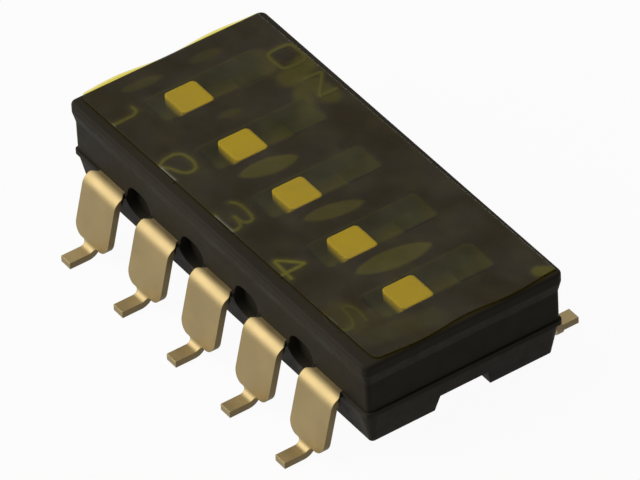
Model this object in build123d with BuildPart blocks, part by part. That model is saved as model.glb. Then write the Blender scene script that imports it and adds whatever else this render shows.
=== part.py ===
"""Five-position surface-mount slide switch in a row, with recessed sliders under a sealing film.

Millimetres. X runs along the row from position 1 to position 5, Y from the OFF side to the ON side,
Z up from the board. The origin is on the board, under the middle of the body.
"""
from build123d import *
import math
import os

os.makedirs("parts", exist_ok=True)

# The row
positions = 5
pitch = 2.54

# Housing
body_width = 6.20
body_bottom = 0.92
base_height = 1.18
cover_height = 1.65
cover_wall = 0.60
roof = 0.55
corner_radius = 0.12

# Bead round the top of the cover
lip_out = 0.09
lip_flare = 0.35
lip_band = 0.33
lip_round = 0.10

# Sides and underside of the base
base_proud = 0.05
base_band = 0.15
base_draft = 12
channel_width = 1.55
channel_depth = 0.52
channel_draft = 0.12

# Blind recesses in the long walls between the terminals
recess_depth = 0.30
recess_rise = 0.43
recess_fall = 0.52
recess_margin = 0.12
recess_round = 0.40

# Slots in the roof
slot_width = 1.14
slot_shift = 0.12
slot_overrun = 0.645
slot_corner = 0.15

# Ribs that part one position from the next
rib_width = 0.20
partition_width = 0.90
rim_wall = 0.30
fit_gap = 0.03

# Sliders
travel = 1.25
slide_gap = 0.04
side_gap = 0.07
stop_gap = 0.05
flange_thickness = 0.40
nub_width = 1.02
nub_gap = 0.045
nub_corner = 0.14
film_gap = 0.02
peg_width = 0.30
peg_gap = 0.02
peg_head = 0.05

# Wipers under the sliders
wiper_strip = 0.08
wiper_width = 0.90
wiper_slit = 0.16
wiper_drop = 0.24
wiper_bend = 0.05
contact_spread = 0.62
arm_run = 0.26
tip_run = 0.20
tip_rise = 0.12

# Terminals
strip = 0.20
bend_inside = 0.22
shank_out = 0.42
shank_lean = 14.0
shank_width = 1.55
shank_end = 0.33
shank_flat = 0.095
neck_round = 0.12
foot_width = 0.43
foot_length = 0.78
pad_width = 1.20
pad_margin = 0.20
contact_gap = 0.35
root_reach = 0.06
root_spread = 0.16
root_round = 0.10

# Sealing film
film_thickness = 0.06
film_overhang = 0.02
film_inset = 0.18
film_turn = 0.4
film_wave = 0.05
film_waves = 2
film_points = 12

# Places worked out from the sizes above
parting = body_bottom + base_height
cover_top = parting + cover_height
base_corner = corner_radius + (base_height - base_band) * math.tan(math.radians(base_draft))
roof_under = cover_top - roof
flange_top = roof_under - slide_gap
flange_bottom = flange_top - flange_thickness
ledge = flange_bottom - slide_gap
nub_top = cover_top - film_gap
wiper_tip = parting + slide_gap
web_under = wiper_tip + wiper_drop
post_bottom = web_under + wiper_strip

flange_width = pitch - rib_width - 2 * side_gap
inner_length = (positions - 1) * pitch + flange_width + 2 * side_gap
inner_width = body_width - 2 * cover_wall
body_length = inner_length + 2 * cover_wall
lip_length = body_length + 2 * lip_out
lip_width = body_width + 2 * lip_out

slot_length = nub_width + travel + 2 * slot_overrun
nub_length = slot_width - 2 * nub_gap
off_place = slot_shift - travel / 2
flange_length = inner_width - 2 * stop_gap - travel - 2 * abs(slot_shift)
cell_width = pitch - partition_width
cell_length = inner_width - 2 * fit_gap - 2 * rim_wall
post_width = cell_width - 2 * side_gap
post_length = 2 * (contact_spread - arm_run)

near_pad_end = slot_shift + travel / 2 - contact_spread + pad_margin
far_pad_end = near_pad_end + contact_gap
shank_top_out = body_width / 2 + shank_out
shank_foot_out = shank_top_out + (parting - strip) * math.tan(math.radians(shank_lean))
tip_out = shank_foot_out + foot_length
shank_corner = (shank_width - foot_width) / 2 - neck_round - shank_flat
root_out = body_width / 2 + root_reach

recess_width = pitch - pad_width - 2 * recess_margin
recess_height = recess_rise + recess_fall

row = [(place - (positions - 1) / 2) * pitch for place in range(positions)]


# Terminals: a strip that starts as a pad in the floor of a cell, leaves the base under the cover,
# bends down to a broad shank and narrows to a foot that lies on the board
terminals = []
for number in range(2 * positions):
    side = -1 if number < positions else 1
    place = number if number < positions else 2 * positions - 1 - number
    pad_start = -near_pad_end if side < 0 else far_pad_end
    side_plane = Plane(origin=(row[place], 0, 0), x_dir=(0, side, 0), z_dir=(side, 0, 0))
    front_plane = Plane(origin=(row[place], 0, 0), x_dir=(-side, 0, 0), z_dir=(0, side, 0))
    plan_plane = Plane(origin=(row[place], 0, 0), x_dir=(side, 0, 0), z_dir=(0, 0, 1))
    with BuildPart() as terminal:
        with BuildSketch(side_plane):
            with BuildLine():
                upper_face = FilletPolyline(
                    (pad_start, parting),
                    (shank_top_out, parting),
                    (shank_foot_out, strip),
                    (tip_out, strip),
                    radius=[bend_inside + strip, bend_inside],
                )
                offset(upper_face, amount=strip, side=Side.RIGHT)
            make_face()
        extrude(amount=shank_width / 2, both=True)
        # Front view: broad shank with rounded lower corners, narrow foot
        with BuildSketch(front_plane.offset(-body_width)):
            with BuildLine():
                edge = FilletPolyline(
                    (foot_width / 2, 0),
                    (foot_width / 2, shank_end),
                    (shank_width / 2, shank_end),
                    (shank_width / 2, cover_top),
                    radius=[neck_round, shank_corner],
                )
                Polyline(edge @ 0, (0, 0), (0, cover_top), edge @ 1)
            make_face()
            mirror(about=Plane.YZ)
        extrude(amount=2 * body_width + tip_out, mode=Mode.INTERSECT)
        # Plan view: the strip is as narrow as the pad where it leaves the base, and widens to the shank
        with BuildSketch(plan_plane):
            with BuildLine():
                edge = FilletPolyline(
                    (pad_width / 2, pad_start),
                    (pad_width / 2, root_out),
                    (shank_width / 2, root_out + root_spread),
                    (shank_width / 2, tip_out),
                    radius=root_round,
                )
                Polyline(edge @ 0, (0, pad_start), (0, tip_out), edge @ 1)
            make_face()
            mirror(about=Plane.YZ)
        extrude(amount=cover_top, mode=Mode.INTERSECT)
    terminal.part.label = f"terminal_{number + 1:02d}"
    terminals.append(terminal.part)
    export_step(terminal.part, f"parts/{terminal.part.label}.step")


# Recesses, taken out of the base and the cover alike: a rounded pocket between each two terminals
with BuildPart() as recesses:
    for side in (-1, 1):
        recess_back = (0, side * (body_width / 2 - recess_depth), parting + (recess_rise - recess_fall) / 2)
        with BuildSketch(Plane(origin=recess_back, x_dir=(1, 0, 0), z_dir=(0, side, 0))):
            with GridLocations(pitch, 0, positions - 1, 1):
                RectangleRounded(recess_width, recess_height, recess_round)
        extrude(amount=recess_depth + lip_out)


# Base: tapered block moulded round the terminals, upstand with one cell for each slider
with BuildPart() as base:
    with BuildSketch(Plane.XY.offset(parting)):
        RectangleRounded(body_length + 2 * base_proud, body_width + 2 * base_proud, corner_radius)
    extrude(amount=-base_band)
    with BuildSketch(Plane.XY.offset(parting - base_band)):
        RectangleRounded(body_length + 2 * base_proud, body_width + 2 * base_proud, base_corner)
    extrude(amount=base_band - base_height, taper=base_draft)
    with BuildSketch(Plane.XY.offset(parting)):
        Rectangle(inner_length - 2 * fit_gap, inner_width - 2 * fit_gap)
    extrude(amount=ledge - parting)
    with BuildSketch(Plane.XY.offset(ledge)):
        with GridLocations(pitch, 0, positions, 1):
            Rectangle(cell_width, cell_length)
    extrude(amount=parting - ledge, mode=Mode.SUBTRACT)
    # Channel along the underside, which leaves a foot on each side of it at both ends
    with BuildSketch(Plane.YZ):
        with BuildLine():
            half_top = channel_width / 2
            half_mouth = half_top + channel_draft
            channel_top = body_bottom + channel_depth
            Polyline(
                (-half_mouth, body_bottom),
                (-half_top, channel_top),
                (half_top, channel_top),
                (half_mouth, body_bottom),
                close=True,
            )
        make_face()
    extrude(amount=body_length, both=True, mode=Mode.SUBTRACT)
    add(terminals, mode=Mode.SUBTRACT)
    add(recesses, mode=Mode.SUBTRACT)
base.part.label = "base"
export_step(base.part, "parts/base.step")


# Cover: walls, flared bead and filleted roof, a slot for each slider, ribs between the sliders
with BuildPart() as cover:
    with BuildSketch(Plane.XY.offset(parting)):
        RectangleRounded(body_length, body_width, corner_radius)
    extrude(amount=cover_height)
    with BuildSketch(Plane.XY.offset(cover_top - lip_band - lip_flare)):
        RectangleRounded(body_length, body_width, corner_radius)
    extrude(amount=lip_flare, taper=-math.degrees(math.atan(lip_out / lip_flare)))
    with BuildSketch(Plane.XY.offset(cover_top - lip_band)):
        RectangleRounded(lip_length, lip_width, corner_radius + lip_out)
    extrude(amount=lip_band)
    fillet(cover.faces().sort_by(Axis.Z)[-1].edges(), lip_round)
    with BuildSketch(Plane.XY.offset(parting)):
        Rectangle(inner_length, inner_width)
    extrude(amount=roof_under - parting, mode=Mode.SUBTRACT)
    with BuildSketch(Plane.XY.offset(ledge)):
        with GridLocations(pitch, 0, positions - 1, 1):
            Rectangle(rib_width, inner_width + cover_wall)
    extrude(amount=roof_under - ledge)
    with BuildSketch(Plane.XY.offset(cover_top)):
        with Locations((0, slot_shift)):
            with GridLocations(pitch, 0, positions, 1):
                RectangleRounded(slot_width, slot_length, slot_corner)
    extrude(amount=-roof, mode=Mode.SUBTRACT)
    add(recesses, mode=Mode.SUBTRACT)
cover.part.label = "cover"
export_step(cover.part, "parts/cover.step")


# Sealing film: laid a little askew, its two cut ends wavy and just over the fillet of the roof
with BuildPart() as film_seal:
    with BuildSketch(Plane.XY.offset(cover_top).rotated((0, 0, film_turn))):
        half_length = lip_length / 2 - lip_round + film_overhang
        half_width = lip_width / 2 - lip_round - film_inset
        steps = [step / film_points for step in range(film_points + 1)]
        right_cut = [
            (half_length - film_wave * math.cos(2 * math.pi * film_waves * s), half_width * (2 * s - 1))
            for s in steps
        ]
        left_cut = [
            (film_wave * math.cos(2 * math.pi * film_waves * s) - half_length, half_width * (1 - 2 * s))
            for s in steps
        ]
        with BuildLine():
            Spline(right_cut)
            Line(right_cut[-1], left_cut[0])
            Spline(left_cut)
            Line(left_cut[-1], right_cut[0])
        make_face()
    extrude(amount=film_thickness)
film_seal.part.label = "film_seal"
export_step(film_seal.part, "parts/film_seal.step")


# Sliders, drawn to the OFF side: flange under the roof, nub up through the slot, post down to the wiper
for number, x in enumerate(row, start=1):
    with BuildPart() as actuator:
        with BuildSketch(Plane.XY.offset(flange_bottom)):
            with Locations((x, off_place)):
                Rectangle(flange_width, flange_length)
        extrude(amount=flange_thickness)
        with BuildSketch(Plane.XY.offset(flange_top)):
            with Locations((x, off_place)):
                RectangleRounded(nub_length, nub_width, nub_corner)
        extrude(amount=nub_top - flange_top)
        with BuildSketch(Plane.XY.offset(flange_bottom)):
            with Locations((x, off_place)):
                Rectangle(post_width, post_length)
        extrude(amount=post_bottom - flange_bottom)
        with BuildSketch(Plane.XY.offset(post_bottom)):
            with Locations((x, off_place)):
                Rectangle(peg_width, peg_width)
        extrude(amount=-wiper_strip - peg_head)
    actuator.part.label = f"actuator_{number}"
    export_step(actuator.part, f"parts/{actuator.part.label}.step")

    # Wiper: a sprung strip held by the peg, its arms slit in two and curled to ride on the pads
    with BuildPart() as wiper:
        with BuildSketch(Plane.YZ.offset(x)):
            with BuildLine():
                web_half = contact_spread - arm_run
                tip_end = contact_spread + tip_run
                under_face = FilletPolyline(
                    (off_place - tip_end, wiper_tip + tip_rise),
                    (off_place - contact_spread, wiper_tip),
                    (off_place - web_half, web_under),
                    (off_place + web_half, web_under),
                    (off_place + contact_spread, wiper_tip),
                    (off_place + tip_end, wiper_tip + tip_rise),
                    radius=[wiper_bend + wiper_strip, wiper_bend, wiper_bend, wiper_bend + wiper_strip],
                )
                offset(under_face, amount=wiper_strip, side=Side.LEFT)
            make_face()
        extrude(amount=wiper_width / 2, both=True)
        with BuildSketch(Plane.XY.offset(parting)):
            with Locations((x, off_place - tip_end), (x, off_place + tip_end)):
                Rectangle(wiper_slit, 2 * (tip_end - peg_width / 2 - 2 * wiper_strip))
            with Locations((x, off_place)):
                Rectangle(peg_width + 2 * peg_gap, peg_width + 2 * peg_gap)
        extrude(amount=ledge - parting, mode=Mode.SUBTRACT)
    wiper.part.label = f"wiper_{number}"
    export_step(wiper.part, f"parts/{wiper.part.label}.step")
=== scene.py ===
"""Looks of the five-position slide switch: finishes of the moulded, stamped and sliding pieces,
the amber film with the raised marks under it, a pale floor, soft light and the camera.

Shapes and textures are in millimetres, which MM turns into metres. The lamp and the camera are
placed in metres.
"""

import math

import bpy
import numpy as np
from mathutils import Matrix, Vector


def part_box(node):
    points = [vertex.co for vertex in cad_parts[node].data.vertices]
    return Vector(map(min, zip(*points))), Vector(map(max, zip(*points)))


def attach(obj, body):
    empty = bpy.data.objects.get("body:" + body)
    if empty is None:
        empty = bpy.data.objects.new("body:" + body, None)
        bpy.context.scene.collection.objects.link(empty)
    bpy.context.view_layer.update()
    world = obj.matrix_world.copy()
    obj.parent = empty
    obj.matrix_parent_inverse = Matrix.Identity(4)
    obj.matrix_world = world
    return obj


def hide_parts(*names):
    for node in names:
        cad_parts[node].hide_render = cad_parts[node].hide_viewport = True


MM = 0.001

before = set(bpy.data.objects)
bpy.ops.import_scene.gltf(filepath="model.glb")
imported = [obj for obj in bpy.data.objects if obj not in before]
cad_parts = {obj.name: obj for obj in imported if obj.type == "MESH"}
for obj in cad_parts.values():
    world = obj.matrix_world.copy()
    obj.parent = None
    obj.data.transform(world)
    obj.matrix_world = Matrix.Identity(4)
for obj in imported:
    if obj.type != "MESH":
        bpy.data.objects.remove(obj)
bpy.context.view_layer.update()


# Places taken from the frame
def box_mm(node):
    low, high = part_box(node)
    return low / MM, high / MM


slider_boxes = [box_mm(name) for name in sorted(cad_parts) if name.startswith("actuator")]
slider_row = [(low.x + high.x) / 2 for low, high in slider_boxes]
slider_top = slider_boxes[0][1].z
film_low, film_high = box_mm("film_seal")
roof_top = film_low.z

# Slots in the roof, which the film bridges
slot_half_width = 0.57
slot_half_length = 1.78
slot_middle = 0.12
slot_corner = 0.15


# Node helpers
class Nodes:
    """The node tree of one material or world, with short calls that add and link its nodes."""

    def __init__(self, owner):
        owner.use_nodes = True
        self.tree = owner.node_tree
        self.tree.nodes.clear()

    def feed(self, socket, value):
        """Link an output to the socket, or set a plain value on it."""
        if isinstance(value, bpy.types.NodeSocket):
            self.tree.links.new(value, socket)
        else:
            socket.default_value = value

    def add(self, kind, inputs=None, **settings):
        """Node with its settings made and its inputs fed."""
        node = self.tree.nodes.new("ShaderNode" + kind)
        for key, value in settings.items():
            setattr(node, key, value)
        for key, value in (inputs or {}).items():
            self.feed(node.inputs[key], value)
        return node

    def calculate(self, operation, *values, clamp=False):
        node = self.add("Math", dict(enumerate(values)), operation=operation, use_clamp=clamp)
        return node.outputs[0]

    def blend(self, factor, first, second):
        """Colour between first and second."""
        return self.add("Mix", {0: factor, 6: first, 7: second}, data_type="RGBA").outputs[2]

    def steps(self, factor, low, high, start=0.0, end=1.0):
        """Factor from low to high turned into start to end, held at both ends."""
        inputs = {"Value": factor, "From Min": low, "From Max": high, "To Min": start, "To Max": end}
        return self.add("MapRange", inputs).outputs[0]

    def place(self):
        """Position on the piece, in metres."""
        return self.add("TexCoord").outputs["Object"]

    def noise(self, size, detail=2.0, roughness=0.5, stretch=(1, 1, 1)):
        """Noise whose features are about size wide, from 0 to 1."""
        inputs = {
            "Vector": self.add("Mapping", {"Vector": self.place(), "Scale": stretch}).outputs[0],
            "Scale": 1 / (size * MM),
            "Detail": detail,
            "Roughness": roughness,
        }
        return self.add("TexNoise", inputs).outputs["Fac"]

    def bevel(self, radius, samples):
        """Normal with every edge rounded by radius."""
        return self.add("Bevel", {"Radius": radius * MM}, samples=samples).outputs[0]

    def bump(self, height, depth, strength, under=None):
        """Normal of a relief whose height, 0 to 1, spans depth, on top of the normal under it."""
        inputs = {"Height": height, "Distance": depth * MM, "Strength": strength}
        if under is not None:
            inputs["Normal"] = under
        return self.add("Bump", inputs).outputs[0]

    def shader(self, kind, inputs):
        return self.add(kind, inputs).outputs[0]

    def over(self, under, share, top):
        """Shader under with a share of the shader top over it."""
        return self.shader("MixShader", {0: share, 1: under, 2: top})

    def finish(self, shader, kind="OutputMaterial"):
        self.add(kind, {"Surface": shader})


def colour(red, green, blue):
    return (red, green, blue, 1.0)


def new_material(name):
    material = bpy.data.materials.new(name)
    return material, Nodes(material)


# Finishes
black_specular = 0.04
# Parts that fine mottle and broad flow marks have in the tone of the black plastic
mottle_part = 0.45
flow_part = 0.55
slider_specular = 0.3
slider_edge_round = 0.10
# Depths below the top of a slider between which painted shade darkens its side
slider_shade_start = 0.02
slider_shade_end = 0.34
metal_edge_round = 0.03
film_index = 1.45
film_gloss_rough = 0.30
film_gloss_most = 0.35
# Painted olive reflection where the film stands clear of the roof, and a haze everywhere that is a
# painted reflection of the surroundings, from the thin to the thick of its clouds
FILM_OLIVE = (0.055, 0.070)
FILM_HAZE = (0.022, 0.034)


def black_plastic(name, dark, pale, edge_round, skin_rough):
    """Moulded black plastic: matt, with faint flow marks, a fine grain and softly rounded edges."""
    material, nodes = new_material(name)
    flow = nodes.noise(size=2.6, detail=3.0, stretch=(0.5, 1, 1.6))
    mottle = nodes.noise(size=0.35, detail=4.0, roughness=0.6)
    grain = nodes.noise(size=0.045)
    flow_marks = nodes.steps(flow, low=0.35, high=0.65, end=flow_part)
    tone = nodes.calculate("MULTIPLY_ADD", mottle, mottle_part, flow_marks)
    rounded = nodes.bevel(edge_round, samples=4)
    grained = nodes.bump(grain, depth=0.006, strength=0.5, under=rounded)
    rough = nodes.steps(mottle, low=0.3, high=0.7, start=skin_rough - 0.06, end=skin_rough + 0.08)
    inputs = {
        "Base Color": nodes.blend(tone, dark, pale),
        "Roughness": rough,
        "Specular IOR Level": black_specular,
        "Normal": nodes.bump(mottle, depth=0.012, strength=0.6, under=grained),
    }
    nodes.finish(nodes.shader("BsdfPrincipled", inputs))
    return material


def slider_plastic(name):
    """White plastic, with painted shade that darkens its sides to near black below the top of the
    nub.
    """
    material, nodes = new_material(name)
    height = nodes.add("SeparateXYZ", {"Vector": nodes.place()}).outputs["Z"]
    darkest = (slider_top - slider_shade_end) * MM
    palest = (slider_top - slider_shade_start) * MM
    mottle = nodes.noise(size=0.3, detail=3.0)
    unshaded = nodes.blend(mottle, colour(0.71, 0.68, 0.62), colour(0.78, 0.75, 0.69))
    # Painted shade: the slider's sides turn near black deep in the slot, where little light reaches
    shaded = nodes.blend(mottle, colour(0.028, 0.028, 0.022), colour(0.044, 0.043, 0.035))
    rounded = nodes.bevel(slider_edge_round, samples=6)
    inputs = {
        "Base Color": nodes.blend(nodes.steps(height, darkest, palest), shaded, unshaded),
        "Roughness": nodes.steps(mottle, low=0.3, high=0.7, start=0.45, end=0.6),
        "Specular IOR Level": slider_specular,
        "Normal": nodes.bump(nodes.noise(size=0.08), depth=0.006, strength=0.5, under=rounded),
    }
    nodes.finish(nodes.shader("BsdfPrincipled", inputs))
    return material


def plated_metal(name, face_dark, face_pale, edge_tone):
    """Plated strip: matt metal with a rolled grain, darker on the sheared edges."""
    material, nodes = new_material(name)
    normal = nodes.add("NewGeometry").outputs["Normal"]
    turned = nodes.add(
        "VectorTransform",
        {"Vector": normal},
        vector_type="NORMAL",
        convert_from="WORLD",
        convert_to="OBJECT",
    )
    across = nodes.add("SeparateXYZ", {"Vector": turned.outputs[0]}).outputs["X"]
    sheared = nodes.steps(nodes.calculate("ABSOLUTE", across), low=0.55, high=0.85)
    rolled = nodes.noise(size=0.10, detail=4.0, stretch=(6, 1, 1))
    cloud = nodes.noise(size=0.7, detail=3.0)
    rounded = nodes.bevel(metal_edge_round, samples=4)
    inputs = {
        "Base Color": nodes.blend(sheared, nodes.blend(cloud, face_dark, face_pale), edge_tone),
        "Metallic": 1.0,
        "Roughness": nodes.steps(cloud, low=0.3, high=0.7, start=0.45, end=0.55),
        "Normal": nodes.bump(rolled, depth=0.004, strength=0.5, under=rounded),
    }
    nodes.finish(nodes.shader("BsdfPrincipled", inputs))
    return material


def tinted_film(name, tint, deep_tint, face_layers=None):
    """Clear film that tints the light on its way through, deeper in clouds."""
    material, nodes = new_material(name)
    cloud = nodes.noise(size=1.1, detail=3.0)
    film = nodes.shader("BsdfTransparent", {"Color": nodes.blend(cloud, tint, deep_tint)})
    if face_layers is not None:
        film = face_layers(nodes, cloud, film)
    nodes.finish(film)
    return material


def film_face_reflections(nodes, cloud, film):
    """The film's upper face: a painted olive reflection, which stands in for the light its underside
    throws back, where it stands clear of the roof and in painted light over the slots, painted
    pale glints at spots of its near rim, a faint haze that is a painted reflection of the
    surroundings, and a gloss at low angles."""
    olive = nodes.shader("BsdfDiffuse", {"Color": colour(0.56, 0.52, 0.01)})
    pale_glint_paint = nodes.shader("BsdfDiffuse", {"Color": colour(0.72, 0.80, 0.90)})
    painted_reflection_veil = nodes.shader("BsdfDiffuse", {"Color": colour(0.82, 0.80, 0.74)})

    # Mask of the painted olive reflection: where the film stands clear of the roof, painted light
    # over the slots and random patches
    clear = nodes.add("Attribute", attribute_name="painted_olive_reflection").outputs["Fac"]
    patches = nodes.steps(nodes.noise(size=0.8), low=0.45, high=0.75, end=0.20)
    painted_reflection_share = nodes.calculate("ADD", clear, patches)
    most = nodes.steps(cloud, 0.3, 0.7, *FILM_OLIVE)
    film = nodes.over(film, nodes.calculate("MULTIPLY", painted_reflection_share, most, clamp=True), olive)

    # Painted glints, pale, at spots of the near rim
    painted_glint_mask = nodes.add("Attribute", attribute_name="painted_glint_mask").outputs["Fac"]
    film = nodes.over(film, painted_glint_mask, pale_glint_paint)
    # Painted reflection of the surroundings, laid over all the face as a faint haze
    film = nodes.over(film, nodes.steps(cloud, 0.35, 0.65, *FILM_HAZE), painted_reflection_veil)

    relief = nodes.bump(nodes.noise(size=0.22, detail=3.0), depth=0.010, strength=0.4)
    fresnel = nodes.add("Fresnel", {"IOR": film_index, "Normal": relief}).outputs[0]
    low_angle = nodes.steps(fresnel, low=0.07, high=0.50, end=film_gloss_most)
    inside = nodes.add("NewGeometry").outputs["Backfacing"]
    outside = nodes.calculate("SUBTRACT", 1.0, inside)
    gloss = nodes.shader("BsdfGlossy", {"Roughness": film_gloss_rough, "Normal": relief})
    return nodes.over(film, nodes.calculate("MULTIPLY", low_angle, outside), gloss)


COVER_PLASTIC = black_plastic(
    "cover_plastic",
    dark=colour(0.0148, 0.0126, 0.0083),
    pale=colour(0.0265, 0.0225, 0.0150),
    edge_round=0.04,
    skin_rough=0.52,
)
BASE_PLASTIC = black_plastic(
    "base_plastic",
    dark=colour(0.0155, 0.0133, 0.0096),
    pale=colour(0.0280, 0.0240, 0.0170),
    edge_round=0.03,
    skin_rough=0.56,
)
SLIDER_PLASTIC = slider_plastic("slider_plastic")
TERMINAL_METAL = plated_metal(
    "terminal_metal",
    face_dark=colour(0.262, 0.197, 0.093),
    face_pale=colour(0.318, 0.245, 0.119),
    edge_tone=colour(0.14, 0.105, 0.052),
)
WIPER_METAL = plated_metal(
    "wiper_metal",
    face_dark=colour(0.55, 0.40, 0.20),
    face_pale=colour(0.66, 0.50, 0.27),
    edge_tone=colour(0.30, 0.22, 0.12),
)
FILM_TINT = colour(0.86, 0.785, 0.33)
FILM_DEEP_TINT = colour(0.79, 0.725, 0.25)
FILM_FACE = tinted_film("film_face", FILM_TINT, FILM_DEEP_TINT, face_layers=film_face_reflections)
FILM_BACK = tinted_film("film_back", FILM_TINT, FILM_DEEP_TINT)
# The cut edges of the film are too thin to tint the light much
FILM_RIM = tinted_film("film_rim", colour(0.99, 0.97, 0.86), colour(0.97, 0.94, 0.80))

# Finishes of the CAD nodes, by the first word of their names
FINISHES = {
    "base": BASE_PLASTIC,
    "cover": COVER_PLASTIC,
    "actuator": SLIDER_PLASTIC,
    "terminal": TERMINAL_METAL,
    "wiper": WIPER_METAL,
}


def dress(piece, material):
    if not piece.data.materials:
        piece.data.materials.append(material)
    for place in piece.material_slots:
        place.material = material


for name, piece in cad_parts.items():
    first_word = name.split("_")[0]
    if first_word in FINISHES:
        dress(piece, FINISHES[first_word])


def new_piece(name, points, faces, materials):
    """Object whose mesh has these points, in millimetres."""
    mesh = bpy.data.meshes.new(name)
    mesh.from_pydata((np.array(points) * MM).tolist(), [], faces)
    for material in materials:
        mesh.materials.append(material)
    mesh.update()
    piece = bpy.data.objects.new(name, mesh)
    bpy.context.scene.collection.objects.link(piece)
    return piece


# Curves and soft shapes in plan
corner_cut = 0.25
leaf_fullness = 0.6
leaf_soft = 0.12


def between(start, end, share):
    return tuple((1 - share) * a + share * b for a, b in zip(start, end))


def smooth_line(points, rounds=2):
    """The points with their corners cut, which turns them into a smooth line."""
    for _ in range(rounds):
        cut = [points[0]]
        for start, end in zip(points, points[1:]):
            cut.append(between(start, end, corner_cut))
            cut.append(between(start, end, 1 - corner_cut))
        cut.append(points[-1])
        points = cut
    return points


def fade(distance, inner, outer):
    """1 where distance is under inner, 0 past outer, smooth between."""
    share = np.clip((outer - distance) / (outer - inner), 0, 1)
    return share * share * (3 - 2 * share)


def run_distance(x, y, start, end):
    """Distance of each point from the straight run from start to end."""
    dx, dy = end[0] - start[0], end[1] - start[1]
    along = ((x - start[0]) * dx + (y - start[1]) * dy) / (dx * dx + dy * dy)
    along = np.clip(along, 0, 1)
    return np.hypot(x - start[0] - along * dx, y - start[1] - along * dy)


def line_distance(x, y, line):
    """Distance of each point from a line of straight runs."""
    return np.minimum.reduce([run_distance(x, y, *run) for run in zip(line, line[1:])])


def leaf(x, y, start, end, half_width):
    """A leaf-shaped patch from start to end with a soft rim."""
    dx, dy = end[0] - start[0], end[1] - start[1]
    length = math.hypot(dx, dy)
    along = ((x - start[0]) * dx + (y - start[1]) * dy) / length**2
    aside = np.abs((x - start[0]) * dy - (y - start[1]) * dx) / length
    width = half_width * np.sin(math.pi * np.clip(along, 0, 1)) ** leaf_fullness
    past = np.maximum(np.maximum(-along, along - 1), 0) * length
    return fade(np.hypot(np.maximum(aside - width, 0), past), 0, leaf_soft)


def rounded_box(x, y, centre, half, corner):
    """Distance outside a rectangle with rounded corners, below 0 inside it."""
    dx = np.abs(x - centre[0]) - half[0] + corner
    dy = np.abs(y - centre[1]) - half[1] + corner
    outside = np.hypot(np.maximum(dx, 0), np.maximum(dy, 0))
    return outside + np.minimum(np.maximum(dx, dy), 0) - corner


# Raised marks, the numbers along the OFF side and ON along the other: strength of the painted
# highlight along them, then the strokes
MARKS = {
    "mark_1": (
        0.85,
        [(-5.56, -2.02), (-5.36, -2.01), (-5.25, -2.20), (-5.25, -2.84)],
    ),
    "mark_2": (
        0.85,
        [(-3.24, -2.25), (-3.12, -2.04), (-2.66, -1.98), (-2.34, -2.12),
         (-2.38, -2.48), (-2.84, -2.66), (-3.06, -2.86), (-2.32, -2.87)],
        [(-3.24, -2.25), (-3.23, -2.58), (-3.08, -2.82)],
    ),
    "mark_3": (
        0.8,
        [(-0.68, -2.18), (-0.52, -2.03), (-0.10, -2.01),
         (0.30, -2.08), (0.26, -2.38), (-0.12, -2.42)],
        [(-0.12, -2.42), (0.30, -2.46), (0.38, -2.80), (0.00, -2.88), (-0.52, -2.84)],
    ),
    "mark_4": (
        1.25,
        [(2.60, -2.86), (2.58, -2.05), (2.54, -2.04), (2.00, -2.58), (2.06, -2.63)],
        [(2.06, -2.63), (2.86, -2.67)],
    ),
    "mark_5": (
        0.5,
        [(5.44, -2.06), (4.78, -2.00), (4.52, -2.30), (5.02, -2.30),
         (5.46, -2.46), (5.40, -2.82), (4.98, -2.88), (4.52, -2.80)],
    ),
    "mark_O": (
        0.75,
        [(-4.82, 2.90), (-4.48, 2.90), (-4.36, 2.78), (-4.36, 2.20), (-4.48, 2.08),
         (-5.10, 2.08), (-5.22, 2.20), (-5.22, 2.78), (-5.10, 2.90), (-4.82, 2.90)],
    ),
    "mark_N": (
        0.8,
        [(-3.72, 2.30), (-3.68, 2.84)],
        [(-3.68, 2.84), (-3.52, 2.78), (-2.96, 2.28), (-2.86, 2.24)],
        [(-2.86, 2.24), (-2.84, 2.76)],
    ),
}
ridge_half_width = 0.055
ridge_height = 0.012
ridge_sunk = 0.002
ridge_sides = 5

# Blisters between the sliders, where the glue has let go: start, end, half width, strength, which
# sets both how far the film rises and its painted olive reflection
BLISTERS = [
    ((-1.39, -1.32), (-1.16, 0.28), 0.27, 0.92),
    ((1.12, -0.98), (1.44, 0.60), 0.22, 0.80),
    ((3.74, -1.14), (3.95, 1.00), 0.31, 0.92),
    ((-6.27, -1.80), (-6.18, -0.66), 0.12, 0.45),
    ((-6.20, 0.32), (-6.16, 1.22), 0.12, 0.35),
    ((-3.78, -0.38), (-3.70, 0.18), 0.10, 0.35),
]

# Broad lifted areas by ON, by the last number and in two corners: start, end, reach, strength, which
# sets both how far the film rises and its painted olive reflection
LIFTED = [
    ((-4.24, 2.78), (-3.96, 2.06), 0.44, 1.00),
    ((-3.70, 2.36), (-2.70, 2.48), 0.36, 0.80),
    ((-3.30, 2.00), (-2.22, 1.34), 0.34, 0.75),
    ((-5.30, 1.94), (-4.66, 1.70), 0.30, 0.45),
    ((-4.66, 1.90), (-4.64, 0.90), 0.26, 0.50),
    ((4.66, -2.40), (5.36, -2.36), 0.46, 0.45),
    ((5.30, -2.20), (5.44, -1.30), 0.34, 0.35),
    ((6.60, 2.64), (6.74, 2.86), 0.24, 1.30),
    ((6.05, -2.30), (6.35, -0.60), 0.42, 0.30),
]

# Painted glints at spots of the near rim: from, to, strength
RIM_SPOTS = [(-3.05, -2.30, 1.0), (-0.48, 0.38, 0.75), (4.70, 5.12, 0.30), (-5.32, -5.14, 0.35)]

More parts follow.
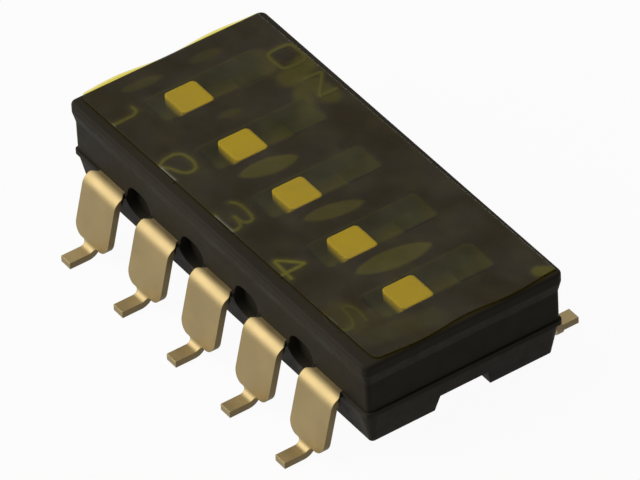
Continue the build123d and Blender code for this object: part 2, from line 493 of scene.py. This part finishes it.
# The film lies a little askew and towards the ON side, and its two cut ends are wavy
film_turn = math.radians(0.4)
film_shift = 0.08
film_wave = 0.05
film_waves = 2
film_left_bulge = 0.10
film_near_corner = 0.25
film_half_width = film_high.y - (film_high.x - 2 * film_wave) * math.sin(film_turn)
film_half_length = film_high.x - film_wave - film_half_width / 2 * math.sin(film_turn)
film_columns = 380
# Rows of the film's grid, close where the marks are: from, to, spacing, in half widths
FILM_ROWS = [(-1.0, -0.62, 0.0115), (-0.62, 0.68, 0.026), (0.68, 1.0, 0.0125)]

# Height of the film over its flat lie, by cause
flat_lift = 0.003
mark_lift = 0.010
blister_lift = 0.012
area_lift = 0.006
slot_sag = 0.002
swell_lift = 0.003
glue_gap = 0.004
# The swell is the product of two waves, in radians per millimetre along x and y
SWELL_WAVES = [(1.9, 0.6), (-0.4, 2.3)]

# How much painted highlight and reflection the film shows over strokes, round them and over the
# slots, with painted light added at the slots' right edges and far ends
stroke_painted_highlight = 1.5
halo_painted_reflection = 0.45
slot_painted_reflection = 0.37
right_edge_painted_light = 0.20
far_end_painted_light = 0.12
# How pale the painted glints on the near rim are
rim_glint_share = 0.09

# Where the film's shapes fade: the distances at which each is last full and first gone
STROKE_FADE = (0.015, 0.085)
HALO_FADE = (0.02, 0.24)
MARK_FADE = (0.03, 0.20)
RIGHT_EDGE_FADE = (0.0, 0.8)
FAR_END_FADE = (0.1, 1.6)
SLOT_SIDE_FADE = (-0.02, 0.06)
SLOT_RIM_FADE = (-0.05, 0.05)
SAG_FADE = (-0.25, 0.25)
SPOT_FADE = (-0.06, 0.05)
RIM_FADE = (0.015, 0.11)
# The same in shares of a lifted area's reach, and in half widths from the film's near edge
AREA_FADE = (0.45, 1.25)
LEFT_BULGE_FADE = (0.15, 0.85)

strokes = {name: [smooth_line(line) for line in lines] for name, (_, *lines) in MARKS.items()}


def film_plan():
    """Grid of points over the film in plan."""
    bands = [np.arange(start, end - step / 2, step) for start, end, step in FILM_ROWS]
    across = np.append(np.concatenate(bands), 1.0)
    along = np.linspace(-1, 1, film_columns + 1)
    u, v = np.meshgrid(along, across)
    reach = film_half_length - film_wave * np.cos(math.pi * film_waves * (v + 1))
    reach += film_left_bulge * np.maximum(-u, 0) * fade(v + 1, *LEFT_BULGE_FADE)
    past = np.maximum(film_near_corner - (v + 1) * film_half_width, 0)
    reach -= film_near_corner - np.sqrt(film_near_corner**2 - past**2)
    x, y = u * reach, v * film_half_width
    return (
        x * math.cos(film_turn) - y * math.sin(film_turn),
        x * math.sin(film_turn) + y * math.cos(film_turn) + film_shift,
    )


def mark_fields(x, y):
    """How much painted highlight and reflection the film shows by the marks, and how far they lift
    it, 0 to 1.
    """
    clear, rise = [], []
    for name, (strength, *_) in MARKS.items():
        distance = np.minimum.reduce([line_distance(x, y, line) for line in strokes[name]])
        stroke = fade(distance, *STROKE_FADE)
        halo = fade(distance, *HALO_FADE)
        clear.append(strength * (stroke_painted_highlight * stroke + halo_painted_reflection * halo))
        rise.append(fade(distance, *MARK_FADE))
    return np.maximum.reduce(clear), np.maximum.reduce(rise)


def slot_field(x, y, inner, outer):
    """1 over the slots, 0 over the roof between them."""
    half = (slot_half_width, slot_half_length)
    distances = [rounded_box(x, y, (middle, slot_middle), half, slot_corner) for middle in slider_row]
    return fade(np.minimum.reduce(distances), inner, outer)


def slot_painted_light(x, y):
    """Painted reflection of the film over the slots, with painted light most at their right edge and
    far end.
    """
    far_end = fade(slot_middle + slot_half_length - y, *FAR_END_FADE)
    clear = []
    for middle in slider_row:
        right_edge = fade(middle + slot_half_width - x, *RIGHT_EDGE_FADE)
        inside = fade(np.abs(x - middle) - slot_half_width, *SLOT_SIDE_FADE)
        level = slot_painted_reflection + right_edge_painted_light * right_edge + far_end_painted_light * far_end
        clear.append(inside * level)
    return np.maximum.reduce(clear) * slot_field(x, y, *SLOT_RIM_FADE)


def blister_field(x, y):
    patches = [strength * leaf(x, y, start, end, half) for start, end, half, strength in BLISTERS]
    return np.maximum.reduce(patches)


def lifted_field(x, y):
    inner, outer = AREA_FADE
    patches = [
        strength * fade(run_distance(x, y, start, end), reach * inner, reach * outer)
        for start, end, reach, strength in LIFTED
    ]
    return np.maximum.reduce(patches)


def rim_glint_field(x, y):
    # Painted glints: pale spots along the near rim of the film
    near_edge = film_shift - film_half_width * math.cos(film_turn) + x * math.sin(film_turn)
    rim = fade(y - near_edge, *RIM_FADE)
    spots = []
    for start, end, strength in RIM_SPOTS:
        beyond = np.abs(x - (start + end) / 2) - (end - start) / 2
        spots.append(strength * fade(beyond, *SPOT_FADE) * rim)
    return rim_glint_share * np.maximum.reduce(spots)


def film_fields(x, y):
    """Height of the film over its flat lie, and the share of painted olive reflection it shows."""
    by_marks, rise = mark_fields(x, y)
    blister = blister_field(x, y)
    lifted = lifted_field(x, y)
    sag = slot_field(x, y, *SAG_FADE)
    swell = np.prod([np.sin(along * x + across * y) for along, across in SWELL_WAVES], axis=0)
    height = mark_lift * rise + blister_lift * blister + area_lift * lifted - slot_sag * sag
    height += swell_lift * swell + flat_lift
    return height, np.maximum.reduce([by_marks, slot_painted_light(x, y), blister, lifted])


def make_film():
    """A closed thin sheet: a fine grid for its face, another for its back, and a rim between."""
    x, y = film_plan()
    height, clear = film_fields(x, y)
    rows, columns = x.shape
    upper = film_high.z + height
    lower = film_low.z + glue_gap + np.maximum(height, 0)
    points = np.concatenate([np.stack([x, y, z], -1).reshape(-1, 3) for z in (upper, lower)])

    def at(r, c, layer=0):
        return (layer * rows + r) * columns + c

    cells = [(r, c) for r in range(rows - 1) for c in range(columns - 1)]
    face = [(at(r, c), at(r, c + 1), at(r + 1, c + 1), at(r + 1, c)) for r, c in cells]
    back = [(at(r, c, 1), at(r + 1, c, 1), at(r + 1, c + 1, 1), at(r, c + 1, 1)) for r, c in cells]
    edge = [(0, c) for c in range(columns)]
    edge += [(r, columns - 1) for r in range(1, rows)]
    edge += [(rows - 1, c) for c in range(columns - 2, -1, -1)]
    edge += [(r, 0) for r in range(rows - 2, 0, -1)]
    pairs = zip(edge, edge[1:] + edge[:1])
    rim = [(at(*here), at(*here, 1), at(*there, 1), at(*there)) for here, there in pairs]

    film = new_piece("sealing_film", points, face + rim + back, (FILM_FACE, FILM_RIM, FILM_BACK))
    layers = [0] * len(face) + [1] * len(rim) + [2] * len(back)
    for polygon, layer in zip(film.data.polygons, layers):
        polygon.material_index = layer
        polygon.use_smooth = layer == 0
    # Masks of the painted olive reflection and of the painted glints, on the points of face and back
    for name, field in (("painted_olive_reflection", clear), ("painted_glint_mask", rim_glint_field(x, y))):
        values = np.tile(field.ravel(), 2).astype(np.float32)
        film.data.attributes.new(name, "FLOAT", "POINT").data.foreach_set("value", values)
    film.data.update()
    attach(film, "housing")
    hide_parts("film_seal")


def make_marks():
    """Low rounded ridges on the roof, one along each stroke."""
    profile = [math.pi * side / ridge_sides for side in range(ridge_sides + 1)]
    ring = len(profile)
    points, faces = [], []
    for line in [line for lines in strokes.values() for line in lines]:
        first = len(points)
        last = first + (len(line) - 1) * ring
        for place, (x, y) in enumerate(line):
            before = line[max(place - 1, 0)]
            after = line[min(place + 1, len(line) - 1)]
            dx, dy = after[0] - before[0], after[1] - before[1]
            length = math.hypot(dx, dy)
            for angle in profile:
                aside = ridge_half_width * math.cos(angle)
                z = roof_top + ridge_height * math.sin(angle) - ridge_sunk
                points.append((x - aside * dy / length, y + aside * dx / length, z))
        for low in range(first, last, ring):
            for step in range(ring):
                after = (step + 1) % ring
                faces.append((low + step, low + after, low + ring + after, low + ring + step))
        faces.append(tuple(first + step for step in reversed(range(ring))))
        faces.append(tuple(last + step for step in range(ring)))
    marks = new_piece("raised_marks", points, faces, (COVER_PLASTIC,))
    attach(marks, "housing")


make_film()
make_marks()

# Surroundings: a pale floor, an even pale surround and one broad lamp from the near left
floor_half = 1200.0
floor_glow = 0.95
surround_level = 0.20
lamp_from = Vector((-0.42, -0.60, 0.68))
lamp_distance = 0.40
lamp_size = 0.48
lamp_power = 2.22
lamp_colour = (1.0, 0.985, 0.96)


def seen_directly(nodes):
    """1 for rays that come from the camera, a gloss or a clear piece, 0 for the rest."""
    path = nodes.add("LightPath").outputs
    seen = nodes.calculate("MAXIMUM", path["Is Camera Ray"], path["Is Glossy Ray"])
    return nodes.calculate("MAXIMUM", seen, path["Is Transmission Ray"])


def make_floor():
    """Shows nearly white, but throws only a grey floor's light on the object."""
    material, nodes = new_material("pale_floor")
    speckle = nodes.noise(size=30.0, detail=3.0)
    tone = nodes.blend(speckle, colour(0.44, 0.44, 0.44), colour(0.48, 0.48, 0.48))
    matt = nodes.shader("BsdfDiffuse", {"Color": tone})
    glow = nodes.shader("Emission", {"Color": colour(1, 1, 1), "Strength": 1.0})
    share = nodes.calculate("MULTIPLY", seen_directly(nodes), floor_glow)
    nodes.finish(nodes.over(matt, share, glow))
    corners = [(x * floor_half, y * floor_half, 0) for x, y in ((-1, -1), (1, -1), (1, 1), (-1, 1))]
    floor = new_piece("floor", corners, [(0, 1, 2, 3)], (material,))


def make_light():
    world = bpy.data.worlds.new("studio")
    bpy.context.scene.world = world
    nodes = Nodes(world)
    level = nodes.steps(seen_directly(nodes), low=0.0, high=1.0, start=surround_level)
    surround = nodes.shader("Background", {"Color": colour(1, 1, 1), "Strength": level})
    nodes.finish(surround, "OutputWorld")
    lamp = bpy.data.lights.new("soft_lamp", "AREA")
    lamp.shape = "DISK"
    lamp.size = lamp_size
    lamp.energy = lamp_power
    lamp.color = lamp_colour
    carrier = bpy.data.objects.new("soft_lamp", lamp)
    bpy.context.scene.collection.objects.link(carrier)
    direction = lamp_from.normalized()
    carrier.location = direction * lamp_distance
    carrier.rotation_euler = direction.to_track_quat("Z", "Y").to_euler()


make_floor()
make_light()

# Camera, on the photograph's line of sight
camera_turn = math.radians(57.15)
camera_rise = math.radians(40.70)
camera_roll = math.radians(-3.2075)
camera_distance = 0.2264
camera_lens = 474.64
camera_sensor = 36.0
camera_clip = (0.01, 10.0)
# Width of the photograph and shift of the view, in its pixels
photo_width = 640
photo_shift = (1.474, 51.768)


def make_camera():
    back = Vector(
        (
            math.sin(camera_turn) * math.cos(camera_rise),
            -math.cos(camera_turn) * math.cos(camera_rise),
            math.sin(camera_rise),
        )
    )
    level = Vector((math.cos(camera_turn), math.sin(camera_turn), 0))
    upright = back.cross(level)
    right = math.cos(camera_roll) * level + math.sin(camera_roll) * upright
    up = back.cross(right)
    data = bpy.data.cameras.new("camera")
    data.sensor_width = camera_sensor
    data.lens = camera_lens
    data.shift_x, data.shift_y = (pixels / photo_width for pixels in photo_shift)
    data.clip_start, data.clip_end = camera_clip
    camera = bpy.data.objects.new("camera", data)
    bpy.context.scene.collection.objects.link(camera)
    turn = Matrix((right, up, back)).transposed().to_4x4()
    camera.matrix_world = Matrix.Translation(back * camera_distance) @ turn
    bpy.context.scene.camera = camera


make_camera()
bpy.context.scene.view_settings.view_transform = "Standard"
